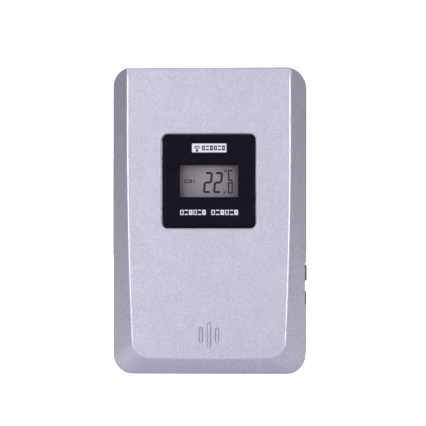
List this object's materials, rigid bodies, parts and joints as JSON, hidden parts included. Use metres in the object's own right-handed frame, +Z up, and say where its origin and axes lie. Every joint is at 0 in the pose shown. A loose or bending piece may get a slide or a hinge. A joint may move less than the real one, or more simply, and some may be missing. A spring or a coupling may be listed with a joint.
{
  "type": "wireless temperature sensor",
  "caption": "Upright plastic sensor housing with a sloped rim, square display window, side buttons, battery door, keyhole hanger and fold-out foot.",
  "frame": {"origin": "centre of the box's bottom face, on the surface that the sensor stands on", "axes": "+Z up along the height, +Y towards the back, so the window faces -Y, and +X to the right as seen from the front"},
  "size_m": [0.0633, 0.027, 0.1],
  "materials": {
    "silver_plastic": "metallic silver paint with a fine speckle",
    "window_acrylic": "polished, printed black from behind",
    "white_tape": "foam adhesive tape",
    "white_plastic": "moulded",
    "display_glass": "reflective liquid crystal panel",
    "grey_rubber": "layered silicone",
    "board_laminate": "green solder mask",
    "black_resin": "cast resin",
    "black_plastic": "moulded",
    "grey_plastic": "moulded",
    "nickel_plate": "nickel plated",
    "tinned_steel": "zinc plated",
    "copper_wire": "bare copper",
    "cell_jacket": "printed foil jacket",
    "red_vinyl": "extruded",
    "black_vinyl": "extruded"
  },
  "bodies": {
    "housing": {"front_cover": "silver_plastic", "rear_cover": "silver_plastic", "window_lens": "window_acrylic", "lens_tape": "white_tape", "display_frame": "white_plastic", "display_panel": "display_glass", "rubber_strip_upper": "grey_rubber", "rubber_strip_lower": "grey_rubber", "main_board": "board_laminate", "chip_blob": "black_resin", "clock_crystal": "nickel_plate", "smoothing_capacitor": "black_plastic", "thermistor": "black_resin", "radio_header": "black_plastic", "radio_board": "board_laminate", "resonator_can": "tinned_steel", "antenna_coil": "copper_wire", "channel_switch": "black_plastic", "unit_switch": "black_plastic", "battery_upper": "cell_jacket", "battery_lower": "cell_jacket", "positive_contact": "nickel_plate", "negative_contact": "nickel_plate", "series_contact": "nickel_plate", "red_lead": "red_vinyl", "black_lead": "black_vinyl", "case_screw_1": "tinned_steel", "case_screw_2": "tinned_steel", "case_screw_3": "tinned_steel", "case_screw_4": "tinned_steel", "board_screw_1": "tinned_steel", "board_screw_2": "tinned_steel", "board_screw_3": "tinned_steel", "board_screw_4": "tinned_steel"},
    "channel_button": {"channel_button": "grey_plastic", "channel_plunger": "white_plastic"},
    "unit_button": {"unit_button": "grey_plastic", "unit_plunger": "white_plastic"},
    "battery_door": {"battery_door": "silver_plastic"},
    "stand_foot": {"stand_foot": "silver_plastic"}
  },
  "joints": [
    {"name": "channel_button_press", "type": "slide", "parent": "housing", "child": "channel_button", "axis": [-1, 0, 0], "range_m": [0, 0.0006], "stiffness_N_per_m": 1200, "springref_m": -0.0003},
    {"name": "unit_button_press", "type": "slide", "parent": "housing", "child": "unit_button", "axis": [-1, 0, 0], "range_m": [0, 0.0006], "stiffness_N_per_m": 1200, "springref_m": -0.0003},
    {"name": "battery_door_hinge", "type": "hinge", "parent": "housing", "child": "battery_door", "pos_m": [0, 0.0124, 0.0383], "axis": [-1, 0, 0], "range_deg": [0, 75]},
    {"name": "stand_foot_hinge", "type": "hinge", "parent": "housing", "child": "stand_foot", "pos_m": [0, 0.012, 0.0017], "axis": [-1, 0, 0], "range_deg": [0, 90]}
  ]
}
